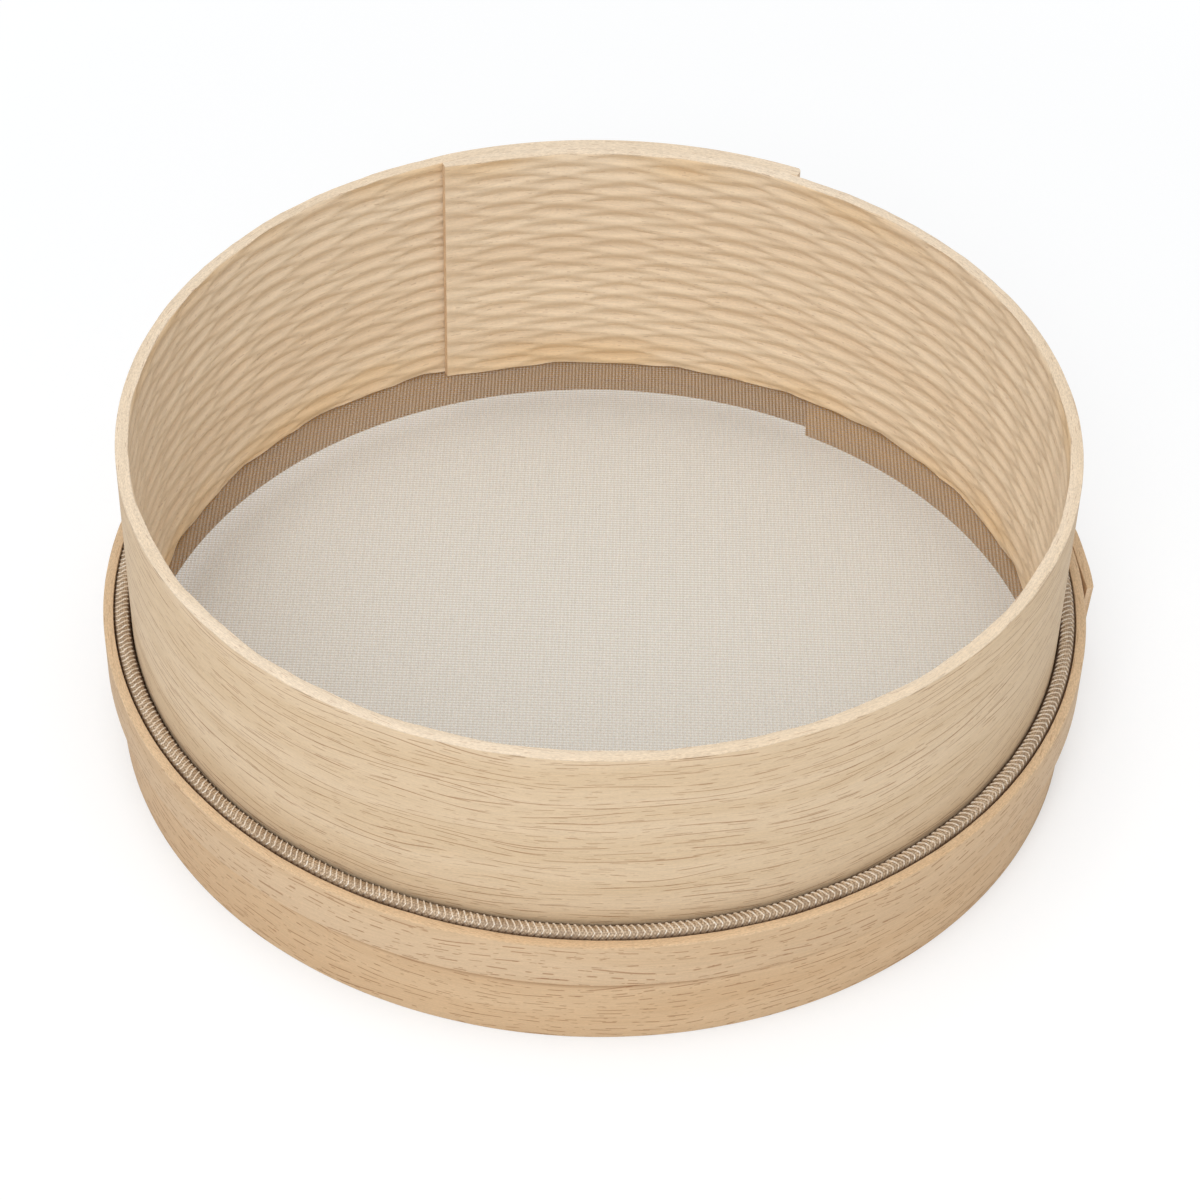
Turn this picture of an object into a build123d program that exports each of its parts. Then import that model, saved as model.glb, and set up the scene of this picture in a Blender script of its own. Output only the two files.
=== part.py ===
from build123d import *
import os
from math import cos, radians, sin

# A drum sieve of bent beech boards. Millimetres, +Z up, standing on the table at Z = 0.
# A tall board is bent round into the drum. The sieve cloth is stretched over the drum's lower edge
# and turned up outside it. A foot board is wound round the cloth and the drum, and a narrow collar
# round the top of the foot. The cloth's edge is rolled up in the channel inside the collar.

# Driving sizes of the drum
drum_diameter = 250.0
overall_height = 93.0
drum_board_thickness = 3.5
cloth_height = 17.0
ridge_count = 15
ridge_depth = 0.5

# Foot board
foot_board_thickness = 3.6
foot_board_width = 31.0

# Collar board
collar_board_thickness = 2.7
collar_bottom = 22.4
collar_top = 36.6

# Sieve cloth and its rolled edge
cloth_thickness = 0.4
cloth_clearance = 0.3
net_gaps_across = 14
smallest_gap_share = 0.2
net_thread_width = 1.4
net_border = 2.0
roll_height = 6.6
roll_sides = 8

# Fits between the wound boards
glue_line = 0.1
cloth_room = 1.1
collar_clearance = 0.1
end_round = 1.0

# Plan angles of the board ends, in degrees anticlockwise from +X.
# Every board is wound clockwise from its inner end to its outer end.
drum_inner_end = 113.5
drum_outer_end = 65
foot_inner_end = 61
foot_outer_end = 33
collar_inner_end = 30
collar_outer_end = 1
roll_crossing_start = 62
roll_crossing_end = 33
quarter_turn = 90
half_turn = 180
full_turn = 360

# One full turn takes the winding out by the thickest board and its glue line.
# Half turns alternate between two centres, so every layer lies parallel to the one inside it.
# The drum's diameter is its mean over one turn, so the first half turn lies a little inside it.
winding_rise = max(drum_board_thickness, foot_board_thickness, collar_board_thickness) + glue_line
centre_shift = winding_rise / 4
mean_rise_share = 0.6
first_radius = drum_diameter / 2 - winding_rise * mean_rise_share

drum_board_width = overall_height - cloth_height
ridge_pitch = drum_board_width / ridge_count
foot_inside = cloth_room
foot_outside = foot_inside + foot_board_thickness
collar_inside = foot_outside + collar_clearance
channel_width = collar_inside
cloth_top = cloth_height - cloth_clearance
cloth_bottom = cloth_top - cloth_thickness
roll_middle = foot_board_width + cloth_clearance + roll_height / 2


def winding(angle, turns=0):
    """Winding angle, clockwise from the drum's left, of a plan angle after some whole turns."""
    return half_turn - angle + full_turn * turns


def polar(length, angle):
    """Vector of some length at a plan angle."""
    return Vector(length * cos(radians(angle)), length * sin(radians(angle)), 0)


def plan_centre(half):
    """Centre of one half turn: the back halves and the front halves have a centre each."""
    return Vector(centre_shift if half % 2 == 0 else -centre_shift, 0, 0)


def plan_radius(half):
    """Radius of the drum's outside in one half turn."""
    return first_radius + half * winding_rise / 2


def winding_arcs(start, end):
    """Arcs of the winding as centre, radius, and lowest and highest plan angle."""
    arcs = []
    at = start
    while at < end:
        half = int(at // half_turn)
        stop = min(end, (half + 1) * half_turn)
        arcs.append((plan_centre(half), plan_radius(half), half_turn - stop, half_turn - at))
        at = stop
    return arcs


def crossing_arcs(start, end):
    """Two arcs that bring the winding in by one layer, tangent to the winding at both ends."""
    half = int(winding(start, turns=1) // half_turn)
    centre = plan_centre(half)
    half_sweep = (start - end) / 2
    shift = winding_rise / 2 / (1 - cos(radians(half_sweep)))
    tight = (centre + polar(shift, start), plan_radius(half) - shift, end + half_sweep, start)
    wide = (centre - polar(shift, end), plan_radius(half) - winding_rise + shift, end, end + half_sweep)
    return [tight, wide]


def plan_point(at, offset):
    """Point of the winding, a radial offset outside the drum's outer surface."""
    half = int(at // half_turn)
    return plan_centre(half) + polar(plan_radius(half) + offset, half_turn - at)


def revolve_arc(section, arc):
    """Turn a section, drawn as radial offset and height, round one arc."""
    centre, radius, low, high = arc
    plane = Plane(origin=centre, x_dir=polar(1, low), z_dir=polar(1, low - quarter_turn))
    placed = plane * Pos(radius, 0) * section
    return revolve(placed, axis=Axis(centre, (0, 0, 1)), revolution_arc=high - low)


def wind(section, arcs):
    """Join the section's turns round consecutive arcs into one solid."""
    pieces = [revolve_arc(section, arc) for arc in arcs]
    return pieces[0].fuse(*pieces[1:])


def board_section(inside, outside, bottom, top):
    """Rectangle of a flat board between two radial offsets and two heights."""
    middle = Pos((inside + outside) / 2, (bottom + top) / 2)
    return middle * Rectangle(outside - inside, top - bottom)


def ridged_section():
    """Section of the drum board: planed outside, with rolled ridges along the inside."""
    crest = -drum_board_thickness
    valley = crest + ridge_depth
    ridges = [(valley, cloth_height)]
    for index in range(ridge_count):
        low = cloth_height + index * ridge_pitch
        ridges.append((crest, low + ridge_pitch / 2))
        ridges.append((valley, low + ridge_pitch))
    return make_face(Polyline(*ridges, (0, overall_height), (0, cloth_height), close=True))


def round_outer_end(board):
    """Round the upright corner where a board's outer end stands out from the layer below."""
    upright = board.edges().filter_by(Axis.Z)
    outermost = upright.sort_by(SortBy.DISTANCE)[-1]
    return fillet(outermost, end_round)


def make_drum_board():
    """Tall beech board of the drum, lapped and glued at the back."""
    arcs = winding_arcs(winding(drum_inner_end), winding(drum_outer_end, turns=1))
    return round_outer_end(wind(ridged_section(), arcs))


def make_foot_board():
    """Beech board of the foot, wound round the cloth and the drum's lower part."""
    section = board_section(foot_inside, foot_outside, 0, foot_board_width)
    section = Pos(-winding_rise, 0) * section
    arcs = winding_arcs(winding(foot_inner_end, turns=1), winding(foot_outer_end, turns=2))
    return round_outer_end(wind(section, arcs))


def make_collar_board():
    """Narrow beech board wound round the foot's upper part, standing above it as a rim."""
    section = board_section(collar_inside, collar_inside + collar_board_thickness, collar_bottom, collar_top)
    section = Pos(-2 * winding_rise, 0) * section
    arcs = winding_arcs(winding(collar_inner_end, turns=2), winding(collar_outer_end, turns=3))
    return round_outer_end(wind(section, arcs))


def cloth_wire(offset):
    """Closed outline round the drum, stepping across between the drum's end and the foot's."""
    start = winding(foot_inner_end)
    end = winding(drum_outer_end, turns=1)
    edges = []
    for centre, radius, low, high in winding_arcs(start, end):
        edges.append(CenterArc(centre, radius + offset, low, high - low))
    edges.append(Line(plan_point(end, offset), plan_point(start, offset)))
    return Wire(edges)


def net_gap_wires():
    """Outlines of the net's gaps: squares, cut round where they meet the drum's inner face."""
    net_radius = first_radius - drum_board_thickness - net_border
    pitch = 2 * net_radius / net_gaps_across
    gap = pitch - net_thread_width
    rim = Circle(net_radius)
    wires = []
    for row in range(net_gaps_across):
        for column in range(net_gaps_across):
            x = (column + 0.5) * pitch - net_radius
            y = (row + 0.5) * pitch - net_radius
            square = Pos(x, y) * Rectangle(gap, gap)
            if Vector(abs(x) + gap / 2, abs(y) + gap / 2, 0).length > net_radius:
                square = square & rim
            if square and square.area > smallest_gap_share * gap * gap:
                wires.append(square.wire())
    return wires


def make_sieve_cloth():
    """Sieve cloth stretched flat over the drum's lower edge, as a net of square gaps."""
    outline = cloth_wire(cloth_room / 2 + cloth_thickness / 2)
    net = Face(outline, net_gap_wires())
    return Pos(0, 0, cloth_bottom) * extrude(net, cloth_thickness, dir=(0, 0, 1))


def make_upturn():
    """Cloth turned up between the drum and the foot, as far as the middle of the roll."""
    inside = cloth_wire(cloth_room / 2 - cloth_thickness / 2)
    outside = cloth_wire(cloth_room / 2 + cloth_thickness / 2)
    wall = Face(outside, [inside])
    return Pos(0, 0, cloth_top) * extrude(wall, roll_middle - cloth_top, dir=(0, 0, 1))


def make_roll():
    """Edge of the cloth, rolled up and lying on the foot's top edge inside the collar."""
    width = channel_width - 2 * cloth_clearance
    section = scale(RegularPolygon(radius=1, side_count=roll_sides), by=(width / 2, roll_height / 2, 1))
    section = Pos(channel_width / 2, roll_middle) * section
    arcs = winding_arcs(winding(roll_crossing_end), winding(roll_crossing_start, turns=1))
    return wind(section, arcs + crossing_arcs(roll_crossing_start, roll_crossing_end))


def make_cloth_edge():
    """Turned-up and rolled edge of the cloth in one piece."""
    return make_upturn().fuse(make_roll())


parts = {
    "drum_board": make_drum_board(),
    "foot_board": make_foot_board(),
    "collar_board": make_collar_board(),
    "sieve_cloth": make_sieve_cloth(),
    "cloth_edge": make_cloth_edge(),
}

os.makedirs("parts", exist_ok=True)
plan_middle = parts["collar_board"].bounding_box().center()
for node, solid in parts.items():
    export_step(Pos(-plan_middle.X, -plan_middle.Y, 0) * solid, f"parts/{node}.step")
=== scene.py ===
# %% [markdown]
# # A tamis, or drum sieve, of bent beech
# A tamis is a wooden drum with a fine cloth stretched over its lower edge. Flour or a puree is pushed
# through the cloth. Three long beech boards are steamed and wound round one another: a tall one for the
# drum, a lower one for the foot, and a narrow one for the collar. The cloth is clamped between drum and
# foot, and its edge is rolled up in the channel behind the collar.
# Every board, and the rolled edge of the cloth, is made as the real one is: straight and flat first, then
# wound round a former.

# %% Load the imported frame
import math

import bmesh
import bpy
import numpy as np
from mathutils import Matrix, Vector


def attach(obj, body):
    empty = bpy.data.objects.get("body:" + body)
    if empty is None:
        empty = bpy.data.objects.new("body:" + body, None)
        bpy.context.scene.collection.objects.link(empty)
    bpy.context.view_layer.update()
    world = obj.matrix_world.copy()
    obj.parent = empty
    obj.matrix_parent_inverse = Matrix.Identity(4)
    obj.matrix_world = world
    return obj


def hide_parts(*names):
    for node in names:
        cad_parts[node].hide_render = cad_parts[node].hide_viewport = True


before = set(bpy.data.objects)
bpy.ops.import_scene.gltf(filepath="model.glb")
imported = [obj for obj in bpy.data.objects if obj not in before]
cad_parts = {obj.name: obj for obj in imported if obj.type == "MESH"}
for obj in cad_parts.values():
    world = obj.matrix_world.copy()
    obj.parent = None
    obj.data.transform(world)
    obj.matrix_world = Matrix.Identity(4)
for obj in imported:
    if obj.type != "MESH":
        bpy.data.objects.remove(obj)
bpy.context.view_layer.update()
MM = 0.001

# %% [markdown]
# ## The winding
# A bent board does not lie on a circle. Each turn has to climb over the turn inside it, so the real
# shape is a spiral. A spiral of half circles about two centres is easy to draw and has no kinks: the
# back halves turn about one centre, the front halves about another a little to the left, and each half
# is larger than the last. All the boards lie on this one spiral, one after the other. An angle along it,
# the winding angle, starts at the drum's left side and runs clockwise, as seen from above.

# %% One spiral for every board
WINDING_RISE = 3.7 * MM
FIRST_RADIUS = 122.78 * MM
MIDDLE_X = -0.904 * MM
MIDDLE_Y = -0.925 * MM
CENTRE_SHIFT = WINDING_RISE / 4


def plan_point(at, offset):
    """Point of the spiral at a winding angle in degrees, some way outside the drum's outer face."""
    half = int(at // 180)
    centre_x = MIDDLE_X + (CENTRE_SHIFT if half % 2 == 0 else -CENTRE_SHIFT)
    radius = FIRST_RADIUS + half * WINDING_RISE / 2 + offset
    angle = math.radians(180 - at)
    return (centre_x + radius * math.cos(angle), MIDDLE_Y + radius * math.sin(angle), 0.0)


def former(places):
    """A curve through these places, to wind a piece on, and its length."""
    line = bpy.data.curves.new("former", "CURVE")
    line.dimensions = "3D"
    line.twist_mode = "Z_UP"
    run = line.splines.new("POLY")
    run.points.add(len(places) - 1)
    for point, place in zip(run.points, places):
        point.co = (*place, 1)
    made = bpy.data.objects.new("former", line)
    bpy.context.collection.objects.link(made)
    steps = np.linalg.norm(np.diff(np.array(places), axis=0), axis=1)
    return made, float(steps.sum())


def spiral_former(first, last, offset=0.0):
    """A former that follows the spiral from one winding angle to another, with a point for each degree."""
    count = round(last - first)
    return former([plan_point(first + (last - first) * step / count, offset) for step in range(count + 1)])


def wind_on(piece, line):
    """Bend a straight piece, which lies along X from zero, round a former."""
    alone(piece)
    bend = piece.modifiers.new("wind", "CURVE")
    bend.object = line
    bend.deform_axis = "POS_X"
    bpy.ops.object.modifier_apply(modifier="wind")
    bpy.data.objects.remove(line)


# %% [markdown]
# ## Hands for the bench
# An operator works on all that is selected, so each step starts by making one piece active alone. Edges
# and faces are then picked by where they lie, which is what a hand with a mouse does too.

# %% Picking edges and faces by place
def alone(piece):
    """Select and activate this piece alone."""
    if bpy.context.object and bpy.context.object.mode != "OBJECT":
        bpy.ops.object.mode_set(mode="OBJECT")
    bpy.ops.object.select_all(action="DESELECT")
    piece.select_set(True)
    bpy.context.view_layer.objects.active = piece


def pick_edges(piece, wanted):
    """In edit mode, select the edges for which wanted(first end, second end) is true."""
    alone(piece)
    bpy.ops.object.mode_set(mode="EDIT")
    bpy.ops.mesh.select_mode(type="EDGE")
    bpy.ops.mesh.select_all(action="DESELECT")
    open_mesh = bmesh.from_edit_mesh(piece.data)
    for edge in open_mesh.edges:
        if wanted(edge.verts[0].co, edge.verts[1].co):
            edge.select_set(True)
    bmesh.update_edit_mesh(piece.data)


def pick_faces(piece, wanted):
    """In edit mode, select the faces for which wanted(middle, normal) is true."""
    alone(piece)
    bpy.ops.object.mode_set(mode="EDIT")
    bpy.ops.mesh.select_mode(type="FACE")
    bpy.ops.mesh.select_all(action="DESELECT")
    open_mesh = bmesh.from_edit_mesh(piece.data)
    for face in open_mesh.faces:
        if wanted(face.calc_center_median(), face.normal):
            face.select_set(True)
    bmesh.update_edit_mesh(piece.data)


def done(piece):
    """Leave edit mode."""
    alone(piece)


def places_of(piece):
    """The places of a piece's points, as rows of x, y and z."""
    flat = np.empty(len(piece.data.vertices) * 3)
    piece.data.vertices.foreach_get("co", flat)
    return flat.reshape(-1, 3)


def put_places(piece, places):
    """Write the places of a piece's points back."""
    piece.data.vertices.foreach_set("co", places.ravel())
    piece.data.update()


def merge_points(piece, distance):
    """Merge points that lie closer together than this."""
    pick_edges(piece, lambda a, b: True)
    bpy.ops.mesh.remove_doubles(threshold=distance)
    done(piece)


def face_outwards(piece):
    """Point all of a closed piece's faces outwards."""
    pick_edges(piece, lambda a, b: True)
    bpy.ops.mesh.normals_make_consistent(inside=False)
    done(piece)


# %% A value that wanders
WAVES = ((1, 1), (1.618, 2.3), (2.732, 3.7))


def waver(along, length, seed):
    """A smooth wandering value between about -1 and 1, which hardly repeats."""
    turns = 2 * np.pi * along / length
    return sum(np.sin(speed * turns + shift * seed) for speed, shift in WAVES) / len(WAVES)


def ring_waver(along, count, seed):
    """A wandering value that is the same at both ends of a ring, whose length counts as 1."""
    turns = 2 * np.pi * along
    return sum(np.sin(round(count * speed) * turns + shift * seed) for speed, shift in WAVES) / len(WAVES)


# %% [markdown]
# ## A board
# A board for bending is planed, its edges are eased with a block, and it is then steamed. Here it is a
# box at its full length, its long edges bevelled and the outer corner of its far end rounded. It needs many
# cuts across its length, or it would bend like a folding ruler. Subdivide is given only the long edges, so
# it cuts in that direction alone.
# While the board is still a plain box its faces are easy to tell apart, so each gets its finish now: the
# outer face, the inner face, the long narrow edges, and the end grain. Later cuts keep the finish.

# %% A flat board with eased edges, finishes and many cuts
BOARD_STEP = 1.65 * MM
CUTS_PER_STRIP = 20
DOUBLED = 0.01 * MM
OUTER_FACE, INNER_FACE, NARROW_EDGE, END_GRAIN = range(4)


def cut_across(piece, length, strips):
    """Cut a flat piece across its length, first into strips, and then each strip again."""
    pick_edges(piece, lambda a, b: abs(a.x - b.x) > length / 2)
    bpy.ops.mesh.subdivide(number_cuts=strips - 1)
    pick_edges(piece, lambda a, b: abs(a.x - b.x) > length / strips / 2)
    bpy.ops.mesh.subdivide(number_cuts=CUTS_PER_STRIP - 1)
    done(piece)


def flat_board(name, length, thickness, bottom, top, easing, end_round):
    """A flat board along X, its outer face at Y = 0 and its inner face at minus its thickness."""
    bpy.ops.object.select_all(action="DESELECT")
    bpy.ops.mesh.primitive_cube_add(
        size=1,
        location=(length / 2, -thickness / 2, (bottom + top) / 2),
        scale=(length, thickness, top - bottom),
    )
    board = bpy.context.object
    board.name = name
    bpy.ops.object.transform_apply(location=True, rotation=True, scale=True)
    pick_edges(board, lambda a, b: abs(a.z - b.z) > easing and min(a.x, a.y) > -easing and a.x > easing)
    bpy.ops.mesh.bevel(offset=end_round, segments=4, affect="EDGES")
    pick_edges(board, lambda a, b: abs(a.x - b.x) > length / 2)
    bpy.ops.mesh.bevel(offset=easing, segments=2, affect="EDGES")
    done(board)
    for slot in range(4):
        board.data.materials.append(None)
    for face in board.data.polygons:
        if face.normal.y > 0.99:
            face.material_index = OUTER_FACE
        elif face.normal.y < -0.99:
            face.material_index = INNER_FACE
        elif abs(face.normal.x) > 0.99:
            face.material_index = END_GRAIN
        else:
            face.material_index = NARROW_EDGE
    cut_across(board, length, round(length / BOARD_STEP / CUTS_PER_STRIP))
    merge_points(board, DOUBLED)
    return board


def remember_flat(piece):
    """Keep where each point lies in the flat piece, in millimetres, for the grain to follow."""
    flat = piece.data.attributes.new("flat_place", "FLOAT_VECTOR", "POINT")
    flat.data.foreach_set("vector", (places_of(piece) / MM).ravel())


def waver_edges(board, bottom, top, amount, lap):
    """Let the long edges wander up and down a little, but not where the board's two ends lap."""
    places = places_of(board)
    length = places[:, 0].max()
    for edge_height, seed in ((bottom, 1.0), (top, 4.0)):
        near = np.abs(places[:, 2] - edge_height) < 0.6 * MM
        along = places[near, 0]
        inward = 1 if edge_height == bottom else -1
        swing = waver(along, 61 * MM, seed) + 0.6 * waver(along, 17 * MM, seed + 2)
        from_lap = np.clip(np.minimum(along - lap, length - lap - along) / (10 * MM), 0, 1)
        places[near, 2] += inward * amount * from_lap * (0.8 + 0.5 * swing)
    put_places(board, places)


def close_lap(board, lap, thickness, top, easing, gap):
    """Where the board laps on itself, glue fills the joint and the top is sanded flush."""
    places = places_of(board)
    length = places[:, 0].max()
    under = (places[:, 0] < lap) & (places[:, 1] > -1.1 * easing) & (places[:, 2] > top - 1.1 * easing)
    over = (places[:, 0] > length - lap) & (places[:, 1] < -thickness + 1.1 * easing)
    places[under, 2] = top
    places[over & (places[:, 2] > top - 1.1 * easing), 2] = top
    places[over, 1] -= gap
    put_places(board, places)
    merge_points(board, DOUBLED)


# %% [markdown]
# ## The drum board
# Before it is bent, the drum board runs through a pair of rollers that press shallow ridges into its
# inner face, which makes it bend evenly. Two trains of ridges cross at a small angle. Between them lie
# long lens-shaped dimples with pointed ends, each row half a dimple along from the next. No brush or
# modifier knows this pattern, so the points of the inner face are pressed in by a formula. The board's
# inner end is shaved thin, so that it makes only a low step inside the drum.

# %% Drum board, rolled, then wound
DRUM_START = 66.5
DRUM_END = 475
DRUM_THICKNESS = 3.5 * MM
DRUM_BOTTOM = 17 * MM
DRUM_TOP = 93 * MM
RIDGE_PITCH = (DRUM_TOP - DRUM_BOTTOM) / 15
DIMPLE_LENGTH = 17.6 * MM
RIDGE_DEPTH = 1.3 * MM
CREST_SHARPNESS = 2.5
DRUM_EASING = 0.3 * MM
DRUM_END_ROUND = 1.6 * MM
DRUM_WAVER = 0.32 * MM
DRUM_LAP = 103 * MM
RELIEF_FADE = 3 * MM
RIM_RELIEF = 0.45
END_RELIEF = 0.25
END_RELIEF_RUN = 4 * MM
BESIDE_LAP_RELIEF = 0.4
BESIDE_LAP_RUN = 12 * MM
INNER_END_SHARE = 0.4
INNER_END_LENGTH = 12 * MM


def rolled_depth(along, height):
    """How deep the rollers press the inner face at a place, from 0 on a crest to 1 in a dimple."""
    across = height / RIDGE_PITCH + 0.08 * waver(along, 90 * MM, 5.0) + 0.05 * waver(height, 31 * MM, 2.0)
    lengthways = along / (2 * DIMPLE_LENGTH)
    rising = np.cos(2 * np.pi * (across + lengthways) + 0.7 * waver(along + height, 53 * MM, 1.0))
    falling = np.cos(2 * np.pi * (across - lengthways) + 0.7 * waver(along - height, 47 * MM, 9.0))
    crest = np.log(np.exp(CREST_SHARPNESS * rising) + np.exp(CREST_SHARPNESS * falling)) / CREST_SHARPNESS
    return np.clip((1.2 - crest) / 2.1, 0, 1)


def relief_share(along, height):
    """How much of its relief a place keeps: none in the glued lap, little at the inner end and the rim,
    and more beside the lap."""
    share = np.clip((drum_length - DRUM_LAP + RELIEF_FADE - along) / RELIEF_FADE, 0, 1)
    share *= np.clip(END_RELIEF + along / END_RELIEF_RUN, 0, 1)
    share *= RIM_RELIEF + (1 - RIM_RELIEF) * np.clip((DRUM_TOP - height) / RELIEF_FADE, 0, 1)
    from_lap = np.abs(drum_length - DRUM_LAP - RELIEF_FADE - along)
    return share * (1 + BESIDE_LAP_RELIEF * np.clip(1 - from_lap / BESIDE_LAP_RUN, 0, 1))


drum_line, drum_length = spiral_former(DRUM_START, DRUM_END)
drum = flat_board(
    "beech_drum_board", drum_length, DRUM_THICKNESS, DRUM_BOTTOM, DRUM_TOP, DRUM_EASING, DRUM_END_ROUND
)
on_inner_face = -DRUM_THICKNESS + DOUBLED
pick_edges(drum, lambda a, b: abs(a.z - b.z) > 50 * MM and max(a.y, b.y) < on_inner_face)
bpy.ops.mesh.subdivide(number_cuts=99)
done(drum)
flat = places_of(drum)
inner = flat[:, 1] < -DRUM_THICKNESS + 1.1 * DRUM_EASING
along, height = flat[inner, 0], flat[inner, 2]
flat[inner, 1] += RIDGE_DEPTH * rolled_depth(along, height) * relief_share(along, height)
flat[:, 1] *= 1 - INNER_END_SHARE * np.clip(1 - flat[:, 0] / INNER_END_LENGTH, 0, 1) ** 1.5
put_places(drum, flat)
waver_edges(drum, DRUM_BOTTOM, DRUM_TOP, DRUM_WAVER, DRUM_LAP)
close_lap(drum, DRUM_LAP, DRUM_THICKNESS, DRUM_TOP, DRUM_EASING, WINDING_RISE - DRUM_THICKNESS)
remember_flat(drum)
wind_on(drum, drum_line)
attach(drum, "root")
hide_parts("drum_board")
print("drum board:", round(drum_length / MM), "mm long,", len(drum.data.polygons), "faces")

# %% [markdown]
# ## The foot and the collar
# The same board, lower and thicker, makes the foot, and a thin narrow one the collar. The collar is
# thinner than the spiral's rise, so its last stretch is pressed in until it lies on its own first turn.
# Its outer end is shaved thin from behind before it is glued, and springs off the layer below it a
# little, so a small dark wedge shows there.

# %% Foot board, wound round the drum's lower part
FOOT_START = 479
FOOT_END = 867
FOOT_THICKNESS = 3.6 * MM
FOOT_TOP = 31 * MM
FOOT_OUTER = 1.0 * MM
FOOT_EASING = 0.35 * MM
FOOT_END_ROUND = 1.0 * MM
FOOT_WAVER = 0.08 * MM

foot_line, foot_length = spiral_former(FOOT_START, FOOT_END, FOOT_OUTER)
foot = flat_board(
    "beech_foot_board", foot_length, FOOT_THICKNESS, 0, FOOT_TOP, FOOT_EASING, FOOT_END_ROUND
)
waver_edges(foot, 0, FOOT_TOP, FOOT_WAVER, 0)
remember_flat(foot)
wind_on(foot, foot_line)
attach(foot, "root")
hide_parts("foot_board")
print("foot board:", round(foot_length / MM), "mm long")

# %% Collar board, with its outer end shaved thin
COLLAR_START = 870
COLLAR_END = 1259
COLLAR_THICKNESS = 2.7 * MM
COLLAR_BOTTOM = 22.4 * MM
COLLAR_TOP = 36.6 * MM
COLLAR_OUTER = 0.1 * MM
COLLAR_EASING = 0.4 * MM
COLLAR_END_ROUND = 1.2 * MM
COLLAR_WAVER = 0.2 * MM
SHAVED_LENGTH = 10 * MM
SHAVED_SHARE = 0.3
SPRUNG_LENGTH = 13 * MM
SPRUNG_DEPTH = 0.8 * MM
COLLAR_LAP = 70 * MM
PRESSED_DEPTH = 0.85 * MM
PRESSED_RUN = 40 * MM

collar_line, collar_length = spiral_former(COLLAR_START, COLLAR_END, COLLAR_OUTER)
collar = flat_board(
    "beech_collar_board",
    collar_length,
    COLLAR_THICKNESS,
    COLLAR_BOTTOM,
    COLLAR_TOP,
    COLLAR_EASING,
    COLLAR_END_ROUND,
)
flat = places_of(collar)
to_end = collar_length - flat[:, 0]
shaved = SHAVED_SHARE * np.clip(1 - to_end / SHAVED_LENGTH, 0, 1) ** 1.5
flat[:, 1] -= shaved * (flat[:, 1] + COLLAR_THICKNESS)
pressed = np.clip((COLLAR_LAP + PRESSED_RUN - to_end) / PRESSED_RUN, 0, 1)
flat[:, 1] -= PRESSED_DEPTH * pressed**2 * (3 - 2 * pressed)
share_up = np.clip((flat[:, 2] - COLLAR_BOTTOM) / (COLLAR_TOP - COLLAR_BOTTOM), 0, 1)
flat[:, 1] += SPRUNG_DEPTH * np.clip(1 - to_end / SPRUNG_LENGTH, 0, 1) ** 1.5 * share_up
put_places(collar, flat)
waver_edges(collar, COLLAR_BOTTOM, COLLAR_TOP, COLLAR_WAVER, 0)
remember_flat(collar)
wind_on(collar, collar_line)
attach(collar, "root")
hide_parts("collar_board")
print("collar board:", round(collar_length / MM), "mm long")

# %% [markdown]
# ## The sieve cloth
# The cloth is a plain weave of smooth, nearly clear threads, finer than a render of the whole sieve can
# show. A flat disc with a pattern of holes painted on would look right only from afar, so threads are laid
# one by one. They lie one millimetre apart, and are flat, wide and mostly clear, so that they blend as
# softly as the finer real ones. One thread is made, an array lays the rest beside it, and their ends are
# then trimmed to the cloth's round outline.

# %% Threads of the sieve cloth
THREAD_PITCH = 1.0 * MM
THREAD_HALF_WIDTH = 0.3 * MM
THREAD_HALF_HEIGHT = 0.1 * MM
CLOTH_MIDDLE = 16.5 * MM
THREAD_LIFT = 0.07 * MM
THREAD_CLEARNESS = 0.84
CLOTH_EDGE_OFFSET = 0.45 * MM
CLOTH_START = 119


def cloth_outline():
    """Plan places round the cloth's edge, where it turns up outside the drum."""
    return np.array([plan_point(at, CLOTH_EDGE_OFFSET)[:2] for at in range(CLOTH_START, DRUM_END + 1)])


def chord_ends(outline, positions, axis):
    """Where lines across the outline, at these positions on one axis, start and end on the other."""
    starts = np.full(len(positions), np.inf)
    ends = np.full(len(positions), -np.inf)
    closed = np.vstack([outline, outline[:1]])
    for a, b in zip(closed[:-1], closed[1:]):
        low, high = sorted((a[axis], b[axis]))
        crossed = (positions >= low) & (positions <= high) & (high > low)
        share = (positions[crossed] - a[axis]) / (b[axis] - a[axis])
        at = a[1 - axis] + share * (b[1 - axis] - a[1 - axis])
        starts[crossed] = np.minimum(starts[crossed], at)
        ends[crossed] = np.maximum(ends[crossed], at)
    return starts, ends


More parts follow.
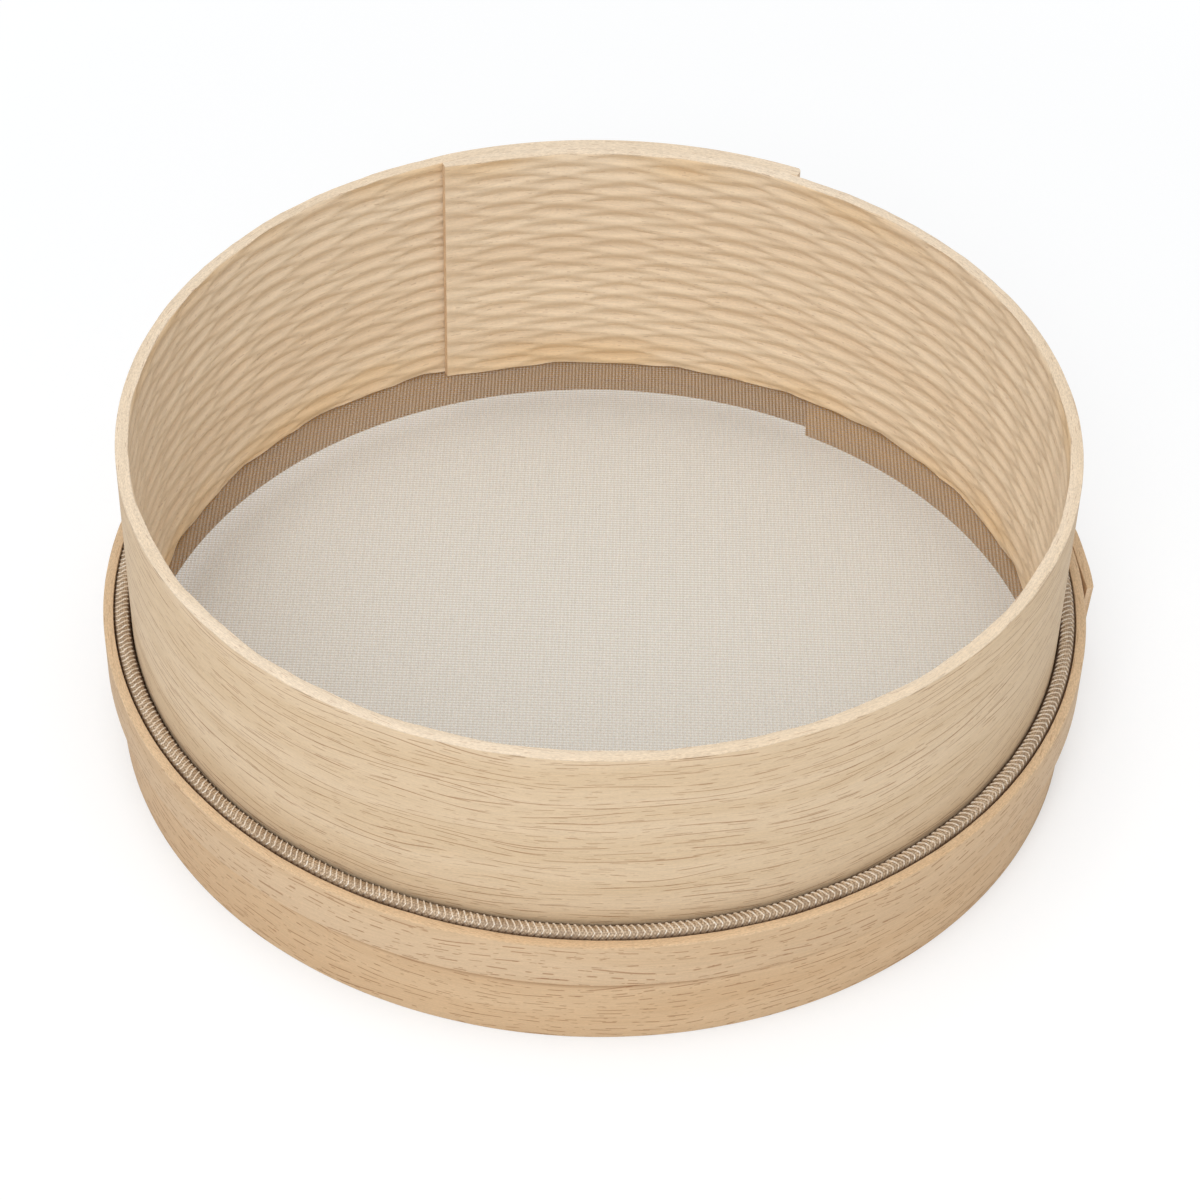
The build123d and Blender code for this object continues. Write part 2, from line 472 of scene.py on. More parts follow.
def thread_family(name, axis, lift):
    """Threads side by side: axis 0 spaces them along X and they run along Y, axis 1 the other way."""
    outline = cloth_outline()
    middle = (MIDDLE_X, MIDDLE_Y)[axis]
    across = (MIDDLE_X, MIDDLE_Y)[1 - axis]
    before = int((middle - outline[:, axis].min()) / THREAD_PITCH - 0.5)
    after = int((outline[:, axis].max() - middle) / THREAD_PITCH - 0.5)
    first = middle - (before + 0.5) * THREAD_PITCH
    count = before + after + 2
    height = CLOTH_MIDDLE + lift
    bpy.ops.object.select_all(action="DESELECT")
    bpy.ops.mesh.primitive_cylinder_add(
        vertices=6,
        radius=THREAD_HALF_WIDTH,
        depth=2 * FIRST_RADIUS,
        location=(first, across, height) if axis == 0 else (across, first, height),
        rotation=(math.pi / 2, 0, 0) if axis == 0 else (0, math.pi / 2, 0),
    )
    threads = bpy.context.object
    threads.name = name
    bpy.ops.object.transform_apply(location=True, rotation=True, scale=True)
    lay = threads.modifiers.new("lay", "ARRAY")
    lay.count = count
    lay.use_relative_offset = False
    lay.use_constant_offset = True
    lay.constant_offset_displace = (THREAD_PITCH, 0, 0) if axis == 0 else (0, THREAD_PITCH, 0)
    bpy.ops.object.modifier_apply(modifier="lay")
    places = places_of(threads)
    index = np.round((places[:, axis] - first) / THREAD_PITCH).astype(int)
    starts, ends = chord_ends(outline, first + np.arange(count) * THREAD_PITCH, axis)
    places[:, 2] = height + (places[:, 2] - height) * THREAD_HALF_HEIGHT / THREAD_HALF_WIDTH
    far = places[:, 1 - axis] > across
    places[:, 1 - axis] = np.where(far, ends[index], starts[index])
    put_places(threads, places)
    bpy.ops.object.shade_smooth_by_angle(angle=math.radians(70))
    print(name, ":", count, "threads,", len(threads.data.polygons), "faces")
    return threads


warp = thread_family("sieve_cloth_warp", 0, THREAD_LIFT)
weft = thread_family("sieve_cloth_weft", 1, -THREAD_LIFT)
alone(warp)
weft.select_set(True)
bpy.ops.object.join()
cloth = bpy.context.object
cloth.name = "woven_sieve_cloth"
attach(cloth, "root")
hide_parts("sieve_cloth")

# %% [markdown]
# ## The rolled edge
# Outside the drum the cloth is turned up, and its edge is rolled to a cord that lies on the foot's top,
# behind the collar. It is made straight, as a board is: a soft core, and round it the slanting threads
# of the rolled cloth, left-handed and right-handed. One twist of the threads is modelled and an array
# repeats it, and the former then closes it to a ring.

# %% The line of the rolled edge
ROLL_OFFSET = 2.45 * MM
ROLL_HEIGHT = 34.6 * MM
ROLL_START = 147
ROLL_CROSSING = 478
ROLL_END = ROLL_START + 360


def roll_point(at, offset=ROLL_OFFSET):
    """Point of the roll's line. In its last stretch it comes in by one layer, over the drum's lap."""
    if at <= ROLL_CROSSING:
        return plan_point(at, offset)
    share = (at - ROLL_CROSSING) / (ROLL_END - ROLL_CROSSING)
    eased = 2 * share**2 if share < 0.5 else 1 - 2 * (1 - share) ** 2
    return plan_point(at, offset - WINDING_RISE * eased)


def ring_former(start, end):
    """A former that follows the roll's ring. Past one full turn it goes on over its own start."""
    return former([roll_point(start + step % 360) for step in range(end - start + 1)])


# %% Core of the rolled edge
ROLL_HALF_WIDTH = 2.2 * MM
ROLL_HALF_HEIGHT = 3.0 * MM
roll_line, roll_length = ring_former(ROLL_START, ROLL_END)
ROLL_STRIPS = 25
RING_WELD = 0.15 * MM
CREASE_COUNT = 150
CREASE_DEPTH = 0.11
FILLED_SHARE = 0.13
SWELL_SHARE = 0.035
FRONT_OF_ROLL = (270 - ROLL_START) / 360


def soften_roll(places):
    """Fill the roll out on the drum's side, press slanting creases in, and let its thickness wander."""
    turn = np.arctan2(places[:, 2] - ROLL_HEIGHT, places[:, 1])
    along = places[:, 0] / roll_length
    creases = np.cos(CREASE_COUNT * 2 * np.pi * along + 2.2 * turn + 1.5 * ring_waver(along, 8, 3.0))
    drum_side = np.clip((turn - 0.8) / 0.6, 0, 1) + np.clip((-2.0 - turn) / 0.4, 0, 1)
    front_share = np.exp(-(((along - FRONT_OF_ROLL) / 0.13) ** 2))
    dip = CREASE_DEPTH * np.clip(creases, 0, 1) ** 3 * drum_side * (1 - 0.85 * front_share)
    filled = FILLED_SHARE * np.sin(2 * turn) ** 2 * (np.abs(turn - 0.75 * np.pi) < 0.25 * np.pi)
    swell = SWELL_SHARE * ring_waver(along, 23, 1.0)
    scale = 1 - dip + filled + swell
    places[:, 1] *= scale
    places[:, 2] = ROLL_HEIGHT + (places[:, 2] - ROLL_HEIGHT) * scale
    return places


bpy.ops.object.select_all(action="DESELECT")
bpy.ops.mesh.primitive_cylinder_add(
    vertices=24, radius=1, depth=roll_length, end_fill_type="NOTHING",
    location=(roll_length / 2, 0, ROLL_HEIGHT), rotation=(0, math.pi / 2, 0),
)
core = bpy.context.object
core.name = "rolled_cloth_core"
bpy.ops.object.transform_apply(location=True, rotation=True, scale=True)
places = places_of(core)
places[:, 1] *= ROLL_HALF_WIDTH
places[:, 2] = ROLL_HEIGHT + (places[:, 2] - ROLL_HEIGHT) * ROLL_HALF_HEIGHT
put_places(core, places)
cut_across(core, roll_length, ROLL_STRIPS)
put_places(core, soften_roll(places_of(core)))
remember_flat(core)
wind_on(core, roll_line)
merge_points(core, RING_WELD)
face_outwards(core)
bpy.ops.object.shade_smooth()
print("roll:", round(roll_length / MM), "mm round,", len(core.data.polygons), "faces in its core")

# %% Bent threads round the roll
TWIST_COUNT = 58
TWIST_LENGTH = roll_length / TWIST_COUNT
STRAND_COUNT = 8
STRAND_RADIUS = 0.25 * MM
STRAND_POINTS = 18
STRAND_SLANT = 4.0 * MM
STRAND_BEND = math.radians(64)


def one_group(name):
    """A few threads, each a closed loop round the roll with its bend pointing back along the roll."""
    line = bpy.data.curves.new(name, "CURVE")
    line.dimensions = "3D"
    line.bevel_depth = STRAND_RADIUS
    line.bevel_resolution = 0
    for strand in range(STRAND_COUNT):
        run = line.splines.new("POLY")
        run.points.add(STRAND_POINTS - 1)
        run.use_cyclic_u = True
        for step, point in enumerate(run.points):
            away = 2 * step / STRAND_POINTS
            turn = STRAND_BEND + math.pi * away
            back = STRAND_SLANT * min(away, 2 - away)
            y = (ROLL_HALF_WIDTH + 0.3 * STRAND_RADIUS) * math.cos(turn)
            z = (ROLL_HALF_HEIGHT + 0.3 * STRAND_RADIUS) * math.sin(turn)
            point.co = (TWIST_LENGTH * strand / STRAND_COUNT + back, y, ROLL_HEIGHT + z, 1)
    made = bpy.data.objects.new(name, line)
    bpy.context.collection.objects.link(made)
    alone(made)
    bpy.ops.object.convert(target="MESH")
    return bpy.context.object


strands = one_group("rolled_cloth_threads")
repeat = strands.modifiers.new("repeat", "ARRAY")
repeat.count = TWIST_COUNT
repeat.use_relative_offset = False
repeat.use_constant_offset = True
repeat.constant_offset_displace = (TWIST_LENGTH, 0, 0)
bpy.ops.object.modifier_apply(modifier="repeat")
places = soften_roll(places_of(strands))
places[:, 0] = np.minimum(places[:, 0], roll_length + STRAND_SLANT)
put_places(strands, places)
remember_flat(strands)
strand_line, _ = ring_former(ROLL_START, ROLL_END + 2)
wind_on(strands, strand_line)
face_outwards(strands)
bpy.ops.object.shade_smooth()
print("threads round the roll:", STRAND_COUNT * TWIST_COUNT, "loops,", len(strands.data.polygons), "faces")

# %% Cloth turned up between the drum and the foot
UPTURN_THICKNESS = 0.4 * MM
UPTURN_OFFSET = 0.55 * MM


def upturn_places():
    """The upturned cloth's line: round the drum, and straight across the step at the drum's lap."""
    places = [plan_point(at, UPTURN_OFFSET) for at in range(CLOTH_START, DRUM_END + 1)]
    last = np.array(places[-1])
    first = np.array(places[0])
    step_count = 6
    crossing = [tuple(last + (first - last) * step / step_count) for step in range(1, step_count)]
    return places + crossing + [places[0]]


upturn_line, upturn_length = former(upturn_places())
bpy.ops.object.select_all(action="DESELECT")
bpy.ops.mesh.primitive_cube_add(
    size=1,
    location=(upturn_length / 2, 0, (CLOTH_MIDDLE + ROLL_HEIGHT) / 2),
    scale=(upturn_length, UPTURN_THICKNESS, ROLL_HEIGHT - CLOTH_MIDDLE),
)
upturn = bpy.context.object
upturn.name = "upturned_cloth"
bpy.ops.object.transform_apply(location=True, rotation=True, scale=True)
pick_faces(upturn, lambda middle, normal: abs(normal.x) > 0.9)
bpy.ops.mesh.delete(type="FACE")
cut_across(upturn, upturn_length, ROLL_STRIPS)
remember_flat(upturn)
wind_on(upturn, upturn_line)
merge_points(upturn, RING_WELD)
face_outwards(upturn)
bpy.ops.object.shade_smooth_by_angle(angle=math.radians(40))
rolled_edge = [core, strands, upturn]
for piece in rolled_edge:
    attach(piece, "root")
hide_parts("cloth_edge")

# %% [markdown]
# ## Beech
# Steamed beech is pale and even, with long fibres and thousands of short dark dashes where the rays are
# cut across. The dashes follow the growth rings, so they lie in rows. The grain follows the board round
# the bend, so the material reads the place that each point had in the flat board, and not its place in
# the world. Noise stretched along the board gives fibres and tone. For the dashes the board's height is
# cut into rows, and noise along each row says where a dash begins and ends.

# %% A helper that adds and joins nodes
def add_node(finish, kind, inputs=None, **settings):
    """Add a node, set its settings, and give each named input a value or a link."""
    tree = finish.node_tree
    made = tree.nodes.new(kind)
    for name, value in settings.items():
        setattr(made, name, value)
    for socket, value in (inputs or {}).items():
        if isinstance(value, bpy.types.NodeSocket):
            tree.links.new(value, made.inputs[socket])
        else:
            made.inputs[socket].default_value = value
    return made


def new_finish(name):
    """A material with an empty node tree, and its output node."""
    finish = bpy.data.materials.new(name)
    finish.use_nodes = True
    finish.node_tree.nodes.clear()
    return finish, finish.node_tree.nodes.new("ShaderNodeOutputMaterial")


def stretched(finish, place, lengths):
    """The flat place, counted in cells of these lengths in millimetres."""
    per_mm = tuple(1 / length for length in lengths)
    return add_node(
        finish, "ShaderNodeVectorMath", {0: place, 1: per_mm}, operation="MULTIPLY"
    ).outputs[0]


def noise(finish, place, lengths, detail=2.0, roughness=0.5):
    """Noise in stretched cells, from about 0.3 to 0.7."""
    cells = stretched(finish, place, lengths)
    settings = {"Vector": cells, "Scale": 1.0, "Detail": detail, "Roughness": roughness}
    return add_node(finish, "ShaderNodeTexNoise", settings).outputs["Fac"]


def spread(finish, value, low, high, to_low=0.0, to_high=1.0):
    """Spread a value between low and high over a new range, clamped at its ends."""
    made = add_node(
        finish,
        "ShaderNodeMapRange",
        {"Value": value, "From Min": low, "From Max": high, "To Min": to_low, "To Max": to_high},
        interpolation_type="SMOOTHSTEP",
    )
    return made.outputs["Result"]


def sums(finish, operation, a, b):
    """One sum on two values."""
    return add_node(finish, "ShaderNodeMath", {0: a, 1: b}, operation=operation).outputs[0]


def blend_colour(finish, share, under, over, how="MIX"):
    """Lay one colour over another by a share. A Mix node's colours are its inputs 6 and 7."""
    made = add_node(
        finish, "ShaderNodeMix", {0: share, 6: under, 7: over}, data_type="RGBA", blend_type=how
    )
    return made.outputs[2]


def srgb(red, green, blue):
    """A colour from 0 to 255 as it looks on a screen, as the linear colour that a shader takes."""
    def linear(value):
        value /= 255
        return value / 12.92 if value <= 0.04045 else ((value + 0.055) / 1.055) ** 2.4
    return (linear(red), linear(green), linear(blue), 1)


# %% Rows of dashes
def dash_rows(finish, along, side, spacing, length, width, rarity, seed):
    """Dashes of about this length and width in rows along the board, from 0 between them to 1."""
    counted = sums(finish, "DIVIDE", side, spacing)
    row = add_node(finish, "ShaderNodeMath", {0: counted}, operation="FLOOR").outputs[0]
    in_row = sums(finish, "SUBTRACT", sums(finish, "SUBTRACT", counted, row), 0.5)
    row_seed = add_node(
        finish, "ShaderNodeMath", {0: row, 1: 3.71, 2: seed}, operation="MULTIPLY_ADD"
    ).outputs[0]
    cell = add_node(finish, "ShaderNodeCombineXYZ", {"X": along, "Y": row_seed}).outputs[0]
    chance = noise(finish, cell, (length, 1, 1), 1.0)
    drift = spread(finish, noise(finish, cell, (40, 1, 1), 0.0), 0.25, 0.75, -0.35, 0.35)
    off_line = sums(finish, "ABSOLUTE", sums(finish, "SUBTRACT", in_row, drift), 0.0)
    across = spread(finish, sums(finish, "MULTIPLY", off_line, spacing), 0.25 * width, 0.6 * width, 1.0, 0.0)
    present = spread(finish, chance, rarity, rarity + 0.06)
    return sums(finish, "MULTIPLY", across, present)


# %% Beech, with its grain along the board
DASH_BROWN = srgb(150, 100, 58)
STRIP_BROWN = srgb(238, 200, 146)
CRACK_BROWN = srgb(128, 88, 50)
COLLAR_SHADOW_BROWN = srgb(150, 108, 70)


def beech(
    name, pale, warm, dashes, fuzz=0.5, across="height", warm_strips=0.0, cracks_from=0.0, shadow_under=0.0
):
    """Beech whose grain runs along the board, with some sets of dashes as spacing, length, width, rarity
    and depth of colour. across is the flat direction that the rows are counted in. Small dark cracks lie
    along the board's edge, from a height in millimetres up, and a painted shadow lies a little under a
    height."""
    finish, output = new_finish(name)
    place = add_node(finish, "ShaderNodeAttribute", attribute_name="flat_place").outputs["Vector"]
    parts = add_node(finish, "ShaderNodeSeparateXYZ", {0: place})
    along = parts.outputs["X"]
    side = parts.outputs["Z"] if across == "height" else parts.outputs["Y"]
    depth = parts.outputs["Y"] if across == "height" else parts.outputs["Z"]
    wander = spread(finish, noise(finish, place, (110, 34, 34)), 0.25, 0.75, -3.0, 3.0)
    flowing = sums(finish, "ADD", side, wander)
    grain = add_node(finish, "ShaderNodeCombineXYZ", {"X": along, "Y": flowing, "Z": depth}).outputs[0]
    broad = spread(finish, noise(finish, grain, (130, 8, 8)), 0.3, 0.7)
    colour = blend_colour(finish, broad, pale, warm)
    if warm_strips:
        low = spread(finish, flowing, 22, 31, warm_strips, 0.0)
        high = spread(finish, flowing, 84, 92, 0.0, warm_strips)
        patches = spread(finish, noise(finish, place, (55, 20, 20)), 0.35, 0.6)
        strips = sums(finish, "MULTIPLY", sums(finish, "MAXIMUM", low, high), patches)
        colour = blend_colour(finish, strips, colour, STRIP_BROWN)
    fibres = spread(finish, noise(finish, grain, (9, 0.35, 0.5), 3.0), 0.3, 0.7, 0.94, 1.04)
    speck_noise = noise(finish, grain, (0.9, 0.28, 0.4), 2.0)
    specks = spread(finish, speck_noise, 0.3, 0.7, 1 - 0.07 * fuzz, 1 + 0.07 * fuzz)
    tone = sums(finish, "MULTIPLY", fibres, specks)
    shade = add_node(finish, "ShaderNodeCombineColor", {0: tone, 1: tone, 2: tone}).outputs[0]
    colour = blend_colour(finish, 1.0, colour, shade, "MULTIPLY")
    if cracks_from:
        at_edge = spread(finish, side, cracks_from, cracks_from + 0.5)
        torn = spread(finish, noise(finish, place, (11, 30, 30), 2.0), 0.55, 0.63, 0.0, 0.5)
        colour = blend_colour(finish, sums(finish, "MULTIPLY", at_edge, torn), colour, CRACK_BROWN)
    # Painted shadow on the foot, a little below the collar's bottom edge, where the collar overhangs it.
    if shadow_under:
        glue = spread(finish, side, shadow_under - 4.4, shadow_under - 2.6, 0.0, 0.6)
        colour = blend_colour(finish, glue, colour, COLLAR_SHADOW_BROWN)
    fibre_relief = sums(finish, "MULTIPLY", fibres, 4.0)
    speck_relief = sums(finish, "MULTIPLY", specks, 6.0 * fuzz)
    relief = sums(finish, "ADD", fibre_relief, speck_relief)
    for index, (spacing, length, width, rarity, strength) in enumerate(dashes):
        marks = dash_rows(finish, along, flowing, spacing, length, width, rarity, 17.0 * index)
        colour = blend_colour(finish, sums(finish, "MULTIPLY", marks, strength), colour, DASH_BROWN)
        relief = sums(finish, "SUBTRACT", relief, marks)
    bump = add_node(finish, "ShaderNodeBump", {"Height": relief, "Strength": 0.5, "Distance": 0.05 * MM})
    surface = add_node(
        finish,
        "ShaderNodeBsdfPrincipled",
        {"Base Color": colour, "Roughness": 0.62, "Specular IOR Level": 0.3, "Normal": bump.outputs[0]},
    )
    finish.node_tree.links.new(surface.outputs[0], output.inputs["Surface"])
    return finish


# %% The finishes that the boards need
DRUM_DASHES = [(2.7, 20, 0.32, 0.46, 0.56), (1.4, 7, 0.26, 0.54, 0.5), (0.8, 4, 0.2, 0.57, 0.3)]
BAND_DASHES = [(1.8, 6.0, 0.36, 0.50, 0.6), (1.2, 3.2, 0.28, 0.57, 0.5)]
FEW_DASHES = [(1.1, 3.0, 0.25, 0.6, 0.25)]
EDGE_DASHES = [(0.9, 5.0, 0.2, 0.58, 0.4)]
drum_outside = beech(
    "beech_planed_drum", srgb(230, 205, 172), srgb(222, 195, 159), DRUM_DASHES, cracks_from=91.8
)
# The inner face is paler than the outer face, partly as rolled, unplaned wood and partly as painted light
# that makes up for the weaker light inside the drum.
drum_inside = beech(
    "beech_rolled_drum", srgb(249, 228, 199), srgb(242, 218, 187), FEW_DASHES, warm_strips=0.5
)
rim_wood = beech(
    "beech_sanded_edge", srgb(240, 221, 196), srgb(232, 210, 181), EDGE_DASHES, 1.5, "thickness"
)
foot_wood = beech(
    "beech_planed_foot", srgb(223, 192, 154), srgb(214, 180, 140), BAND_DASHES, shadow_under=22.4
)
# Painted shade: the foot's inside is the same beech as its outside, and this dark brown stands for the shade
# it lies in under the cloth.
shaded_foot_inside = beech("beech_foot_inside", srgb(193, 139, 58), srgb(177, 125, 48), BAND_DASHES)
collar_wood = beech("beech_planed_collar", srgb(221, 192, 157), srgb(213, 181, 143), BAND_DASHES)
band_edge = beech(
    "beech_band_edge", srgb(222, 193, 157), srgb(212, 178, 138), EDGE_DASHES, 1.6, "thickness"
)
end_grain = beech(
    "beech_end_grain", srgb(236, 210, 178), srgb(224, 194, 160), FEW_DASHES, 1.0, "thickness"
)
print("beech finishes:", len([finish for finish in bpy.data.materials if finish.name.startswith("beech")]))


# %% Finishes on the boards' faces
def dress_board(board, outside, inside, edge):
    """Outer face, inner face, narrow edges and end grain, each with its own finish."""
    for slot, finish in enumerate((outside, inside, edge, end_grain)):
        board.data.materials[slot] = finish
    alone(board)
    bpy.ops.object.shade_smooth_by_angle(angle=math.radians(38))


dress_board(drum, drum_outside, drum_inside, rim_wood)
dress_board(foot, foot_wood, shaded_foot_inside, band_edge)
dress_board(collar, collar_wood, collar_wood, band_edge)

# %% [markdown]
# ## Cloth finishes
# The threads are smooth, a little shiny and mostly clear, so the cloth looks pale over the table and brown
# over the foot. Where a thread dives under its neighbour it turns away from the light, so a small wave
# along each thread, with its neighbours half a wave later, gives the sparkle of a plain weave without
# bending thousands of threads.

# %% Finish of the sieve cloth
def cloth_finish():
    """Pale, mostly clear threads with a woven wave in their bump, and in their colour as painted shade and
    painted highlight.
    """
    finish, output = new_finish("cream_sieve_thread")
    place = add_node(finish, "ShaderNodeTexCoord").outputs["Object"]
    from_middle = add_node(
        finish, "ShaderNodeVectorMath", {0: place, 1: (MIDDLE_X, MIDDLE_Y, 0)}, operation="SUBTRACT"
    ).outputs[0]
    half_waves = (math.pi / THREAD_PITCH,) * 3
    scaled = add_node(
        finish, "ShaderNodeVectorMath", {0: from_middle, 1: half_waves}, operation="MULTIPLY"
    ).outputs[0]
    parts = add_node(finish, "ShaderNodeSeparateXYZ", {0: scaled})
    wave_x = add_node(finish, "ShaderNodeMath", {0: parts.outputs["X"]}, operation="SINE").outputs[0]
    wave_y = add_node(finish, "ShaderNodeMath", {0: parts.outputs["Y"]}, operation="SINE").outputs[0]
    weave = sums(finish, "MULTIPLY", wave_x, wave_y)
    pairs = sums(finish, "MULTIPLY", wave_x, 0.3)
    share = spread(finish, sums(finish, "ADD", weave, pairs), -1.0, 1.0, 0.0, 1.0)
    blotches = add_node(finish, "ShaderNodeTexNoise", {"Vector": place, "Scale": 500.0, "Detail": 2.0})
    mottle = spread(finish, blotches.outputs["Fac"], 0.3, 0.7, 0.0, 0.25)
    # The colour follows the weave too: painted shade where a thread dives under its neighbour, painted
    # highlight where it rises over, and every other warp thread a little paler.
    colour = blend_colour(finish, share, srgb(232, 224, 212), srgb(250, 245, 237))
    colour = blend_colour(finish, mottle, colour, srgb(222, 212, 194))
    bump = add_node(finish, "ShaderNodeBump", {"Height": weave, "Strength": 0.25, "Distance": 0.08 * MM})
    surface = add_node(
        finish,
        "ShaderNodeBsdfPrincipled",
        {"Base Color": colour, "Roughness": 0.4, "Specular IOR Level": 0.5, "Normal": bump.outputs[0]},
    )
    clear = add_node(finish, "ShaderNodeBsdfTransparent", {"Color": (0.98, 0.972, 0.955, 1)})
    thread = add_node(
        finish, "ShaderNodeMixShader", {0: THREAD_CLEARNESS, 1: surface.outputs[0], 2: clear.outputs[0]}
    )
    finish.node_tree.links.new(thread.outputs[0], output.inputs["Surface"])
    return finish


cloth.data.materials.append(cloth_finish())
print("share of light that goes straight on through a thread's face:", THREAD_CLEARNESS)


# %% Finish of the rolled edge
CREVICE_SHADE_BROWN = srgb(98, 73, 52)


def roll_finish(name, dark, pale, roughness, thread, patch, shade_from):
    """Rolled cloth: a fine weave that follows the roll, darker in patches, and with painted shade in the
    crevices by the drum and by the collar, past these two distances in millimetres from the roll's line."""
    finish, output = new_finish(name)
    place = add_node(finish, "ShaderNodeAttribute", attribute_name="flat_place").outputs["Vector"]
    cells = stretched(finish, place, (thread, thread, thread))
    turned = add_node(
        finish, "ShaderNodeVectorRotate", {"Vector": cells, "Angle": 0.8}, rotation_type="Y_AXIS"
    ).outputs[0]
    weave = add_node(
        finish, "ShaderNodeTexVoronoi", {"Vector": turned, "Scale": 1.0, "Randomness": 0.25}
    ).outputs["Distance"]
    share = spread(finish, weave, 0.25, 0.75)
    broad = spread(finish, noise(finish, place, patch), 0.35, 0.65, 0.0, 0.6)
    colour = blend_colour(finish, share, pale, dark)
    colour = blend_colour(finish, broad, colour, dark)
    # Painted shade where the roll meets the drum and the collar.
    side = add_node(finish, "ShaderNodeSeparateXYZ", {0: place}).outputs["Y"]
    shade_by_drum = spread(finish, side, shade_from[0] - 0.5, shade_from[0], 1.0, 0.0)
    shade_by_collar = spread(finish, side, shade_from[1], shade_from[1] + 0.5)
    colour = blend_colour(finish, sums(finish, "MAXIMUM", shade_by_drum, shade_by_collar), colour, CREVICE_SHADE_BROWN)
    bump = add_node(
        finish, "ShaderNodeBump", {"Height": weave, "Strength": 0.7, "Distance": 0.1 * MM}, invert=True
    )
    surface = add_node(
        finish,
        "ShaderNodeBsdfPrincipled",
        {"Base Color": colour, "Roughness": roughness, "Specular IOR Level": 0.6, "Normal": bump.outputs[0]},
    )
    finish.node_tree.links.new(surface.outputs[0], output.inputs["Surface"])
    return finish


# The core's brown is darker than the threads round it, partly as the cloth's own tone and partly as painted
# shade between those threads.
core_cloth = roll_finish(
    "rolled_cloth_weave", srgb(142, 117, 90), srgb(212, 188, 158), 0.45, 0.6, (9, 2, 2), (-1.2, 1.55)
)
strand_cloth = roll_finish(
    "rolled_cloth_strand", srgb(224, 200, 170), srgb(255, 249, 238), 0.25, 0.5, (1.1, 1.4, 1.4), (-1.5, 1.5)
)
core.data.materials.append(core_cloth)
upturn.data.materials.append(core_cloth)
strands.data.materials.append(strand_cloth)
print("cloth finishes:", core_cloth.name, strand_cloth.name)

# %% [markdown]
# ## Floor, light and camera
# The photograph is lit by a large soft light from above on a white table. A wide pale floor, an even
# pale sky and two large lamps do the same. Their sum is kept plain, so that a colour renders about as
# it is written. The photograph's background was whitened afterwards, but not behind the cloth. So the
# floor shines a little of its own, for the camera alone: least under the sieve, and most far away, where
# it meets the white sky. Under the sieve its colour is also darker, as painted shade.

# %% Floor and sky
bpy.ops.object.select_all(action="DESELECT")
bpy.ops.mesh.primitive_plane_add(size=6)
floor = bpy.context.object
floor.name = "studio_floor"
floor_finish, floor_output = new_finish("pale_studio_floor")
floor_white = add_node(floor_finish, "ShaderNodeEmission", {"Color": (1, 1, 1, 1), "Strength": 1.12})
floor_path = add_node(floor_finish, "ShaderNodeLightPath")
floor_place = add_node(floor_finish, "ShaderNodeTexCoord").outputs["Object"]
from_sieve = add_node(
    floor_finish, "ShaderNodeVectorMath", {0: floor_place}, operation="LENGTH"
).outputs["Value"]
UNDER_SIEVE, CLEAR_OF_SIEVE = 118 * MM, 132 * MM
clear_of_sieve = spread(floor_finish, from_sieve, UNDER_SIEVE, CLEAR_OF_SIEVE)
# Painted shade: the floor's own colour is darker under the sieve.
floor_colour_shaded_under_sieve = blend_colour(floor_finish, clear_of_sieve, (0.80, 0.805, 0.80, 1), (0.93, 0.945, 0.96, 1))
floor_shaded = add_node(floor_finish, "ShaderNodeBsdfDiffuse", {"Color": floor_colour_shaded_under_sieve})
near_whiteness = spread(floor_finish, from_sieve, UNDER_SIEVE, CLEAR_OF_SIEVE, 0.14, 0.45)
far_whiteness = spread(floor_finish, from_sieve, 0.22, 0.9, 0.0, 0.55)
whiteness = sums(floor_finish, "ADD", near_whiteness, far_whiteness)
floor_share = sums(floor_finish, "MULTIPLY", floor_path.outputs["Is Camera Ray"], whiteness)
floor_surface = add_node(
    floor_finish,
    "ShaderNodeMixShader",
    {0: floor_share, 1: floor_shaded.outputs[0], 2: floor_white.outputs[0]},
)
floor_finish.node_tree.links.new(floor_surface.outputs[0], floor_output.inputs["Surface"])
floor.data.materials.append(floor_finish)

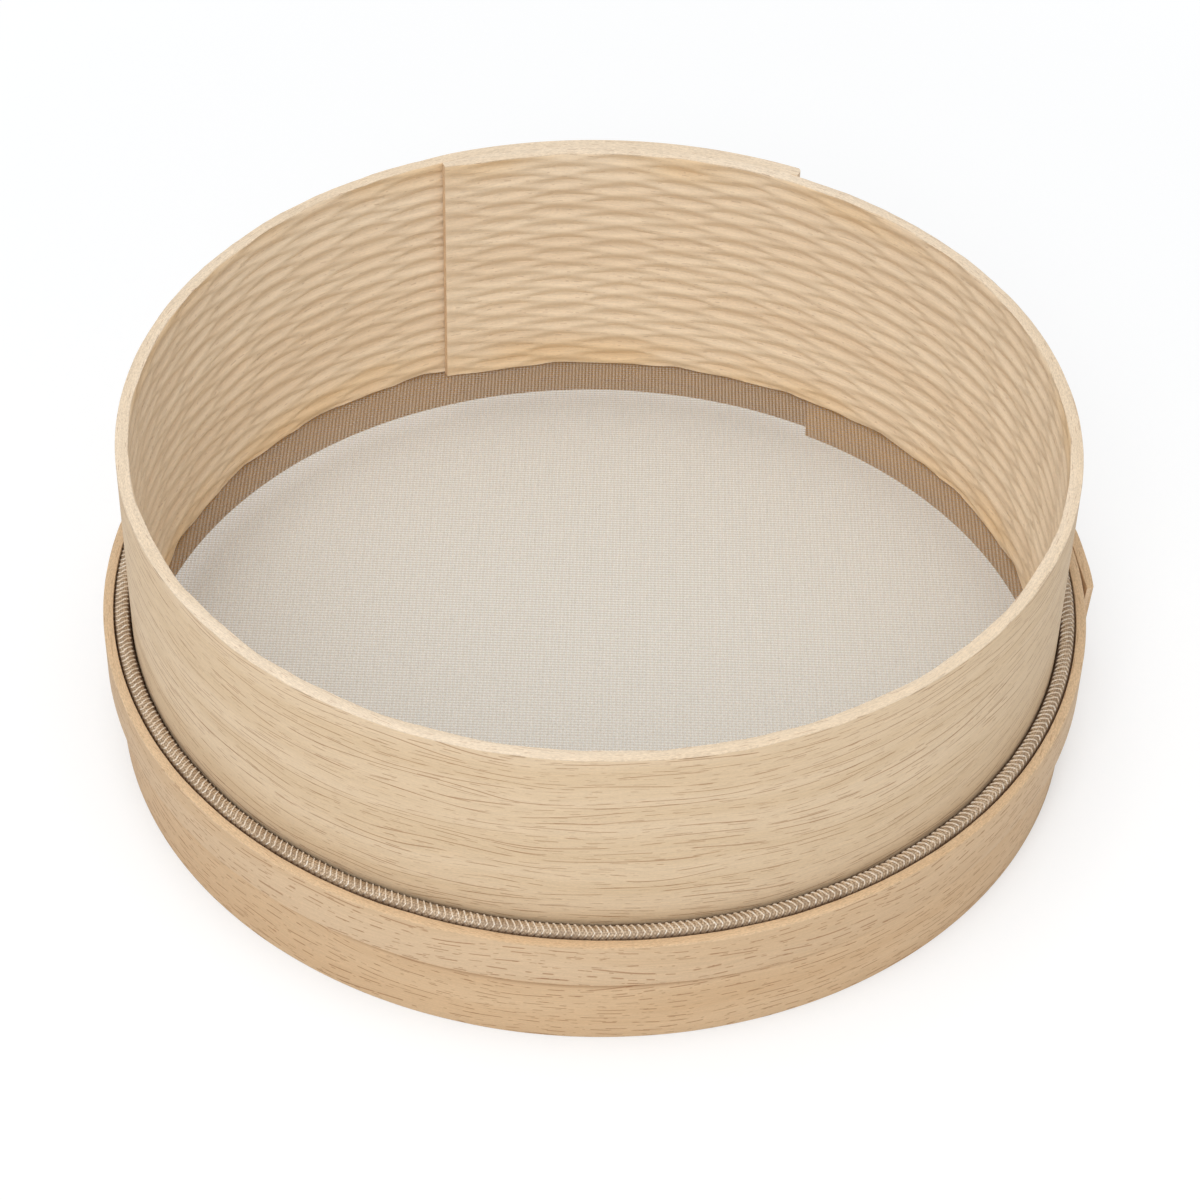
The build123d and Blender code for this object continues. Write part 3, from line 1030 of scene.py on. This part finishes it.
sky = bpy.data.worlds.new("studio_sky")
sky.use_nodes = True
sky.node_tree.nodes.clear()
sky_light = add_node(sky, "ShaderNodeBackground", {"Color": (1, 1, 1, 1), "Strength": 0.5})
sky_seen = add_node(sky, "ShaderNodeBackground", {"Color": (1, 1, 1, 1), "Strength": 1.0})
sky_path = add_node(sky, "ShaderNodeLightPath")
sky_mix = add_node(
    sky,
    "ShaderNodeMixShader",
    {0: sky_path.outputs["Is Camera Ray"], 1: sky_light.outputs[0], 2: sky_seen.outputs[0]},
)
sky_output = add_node(sky, "ShaderNodeOutputWorld", {"Surface": sky_mix.outputs[0]})
bpy.context.scene.world = sky
print("sky light:", sky_light.inputs["Strength"].default_value)


# %% Lamps
def softbox(name, place, target, size, power):
    """A square lamp of some watts that faces a target."""
    bpy.ops.object.light_add(type="AREA", location=place)
    lamp = bpy.context.object
    lamp.name = name
    lamp.data.size = size
    lamp.data.energy = power
    lamp.rotation_euler = (Vector(target) - Vector(place)).to_track_quat("-Z", "Y").to_euler()
    print(name, ":", power, "W, at", place)


softbox("front_softbox", (-0.3, -1.55, 1.5), (0, 0, 0.03), 0.9, 12.5)
softbox("overhead_softbox", (-0.1, -0.2, 1.8), (0, 0, 0), 0.9, 11.5)

# %% [markdown]
# ## Camera
# The photograph was taken from about 42 degrees above the table with a long lens, and the camera was
# tilted to one side by a degree and a half. These numbers come from matching the ellipses of the rim,
# the collar and the foot.

# %% Camera
CAMERA_ELEVATION = 42.359
CAMERA_DISTANCE = 0.880
CAMERA_ROLL = 1.659
AIM = (-0.542 * MM, -0.925 * MM, 29.24 * MM)
elevation = math.radians(CAMERA_ELEVATION)
camera_data = bpy.data.cameras.new("studio_camera")
camera = bpy.data.objects.new("studio_camera", camera_data)
bpy.context.collection.objects.link(camera)
camera_data.sensor_width = 36
camera_data.lens = 97.10
camera.location = (
    AIM[0],
    AIM[1] - CAMERA_DISTANCE * math.cos(elevation),
    AIM[2] + CAMERA_DISTANCE * math.sin(elevation),
)
camera.rotation_mode = "XYZ"
camera.rotation_euler = (
    Matrix.Rotation(math.pi / 2 - elevation, 3, "X") @ Matrix.Rotation(math.radians(CAMERA_ROLL), 3, "Z")
).to_euler()
bpy.context.scene.camera = camera
bpy.context.scene.view_settings.view_transform = "Standard"
print("camera:", CAMERA_ELEVATION, "degrees up,", CAMERA_DISTANCE, "m away")
